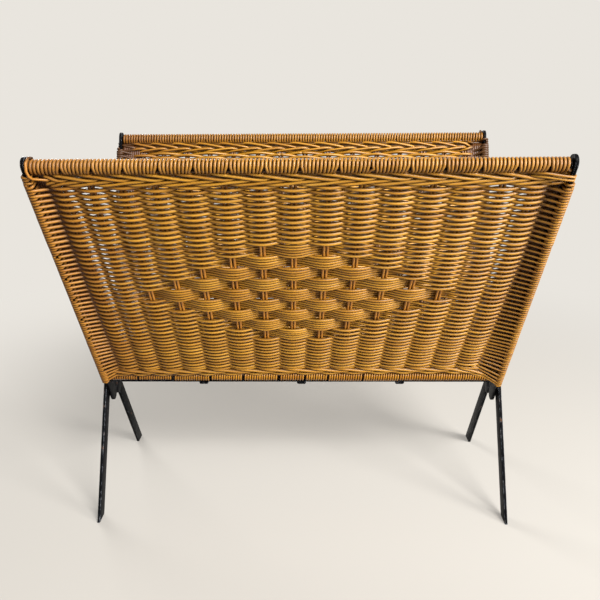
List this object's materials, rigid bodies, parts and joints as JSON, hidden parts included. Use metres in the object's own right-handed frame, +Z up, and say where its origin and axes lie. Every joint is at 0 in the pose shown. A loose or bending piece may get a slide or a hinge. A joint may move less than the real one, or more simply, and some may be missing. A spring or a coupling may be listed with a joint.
{
  "type": "magazine basket",
  "caption": "Open V-shaped woven cane magazine basket with diamond openwork panels in a black flat-iron frame on splayed legs.",
  "frame": {"origin": "on the floor under the middle of the basket, midway between the four feet", "axes": "+Z up, +X along the width to the right as seen from the front panel, -Y towards the front panel"},
  "size_m": [0.4502, 0.2894, 0.3934],
  "materials": {
    "golden_cane": "honey coloured round cane, varnished and aged, satin",
    "pale_cane": "lighter cane of the rolls and the waling, satin",
    "deep_cane": "darker cane of the upright stakes, satin",
    "black_iron": "worn black paint on flat iron, semi-gloss"
  },
  "bodies": {
    "root": {"floor_strap_1": "black_iron", "floor_strap_2": "black_iron", "floor_strap_3": "black_iron", "front_bottom_binding": "pale_cane", "front_bottom_rod": "black_iron", "front_diamond_band_1": "golden_cane", "front_diamond_band_2": "pale_cane", "front_diamond_band_3": "golden_cane", "front_diamond_band_4": "pale_cane", "front_diamond_band_5": "golden_cane", "front_diamond_band_6": "pale_cane", "front_diamond_band_7": "golden_cane", "front_diamond_band_8": "pale_cane", "front_diamond_band_9": "golden_cane", "front_ledge": "black_iron", "front_left_edge_loops": "golden_cane", "front_left_leg": "black_iron", "front_left_side_bar": "black_iron", "front_lower_weave": "golden_cane", "front_right_edge_loops": "golden_cane", "front_right_leg": "black_iron", "front_right_side_bar": "black_iron", "front_stakes_in_base_wale": "deep_cane", "front_top_binding": "pale_cane", "front_top_rod": "black_iron", "front_top_wale": "pale_cane", "front_upper_weave": "golden_cane", "left_gusset": "black_iron", "rear_bottom_binding": "pale_cane", "rear_bottom_rod": "black_iron", "rear_diamond_band_1": "golden_cane", "rear_diamond_band_2": "pale_cane", "rear_diamond_band_3": "golden_cane", "rear_diamond_band_4": "pale_cane", "rear_diamond_band_5": "golden_cane", "rear_diamond_band_6": "pale_cane", "rear_diamond_band_7": "golden_cane", "rear_diamond_band_8": "pale_cane", "rear_diamond_band_9": "golden_cane", "rear_ledge": "black_iron", "rear_left_edge_loops": "golden_cane", "rear_left_leg": "black_iron", "rear_left_side_bar": "black_iron", "rear_lower_weave": "golden_cane", "rear_right_edge_loops": "golden_cane", "rear_right_leg": "black_iron", "rear_right_side_bar": "black_iron", "rear_stakes_in_base_wale": "deep_cane", "rear_top_binding": "pale_cane", "rear_top_rod": "black_iron", "rear_top_wale": "pale_cane", "rear_upper_weave": "golden_cane", "right_gusset": "black_iron"}
  },
  "joints": []
}
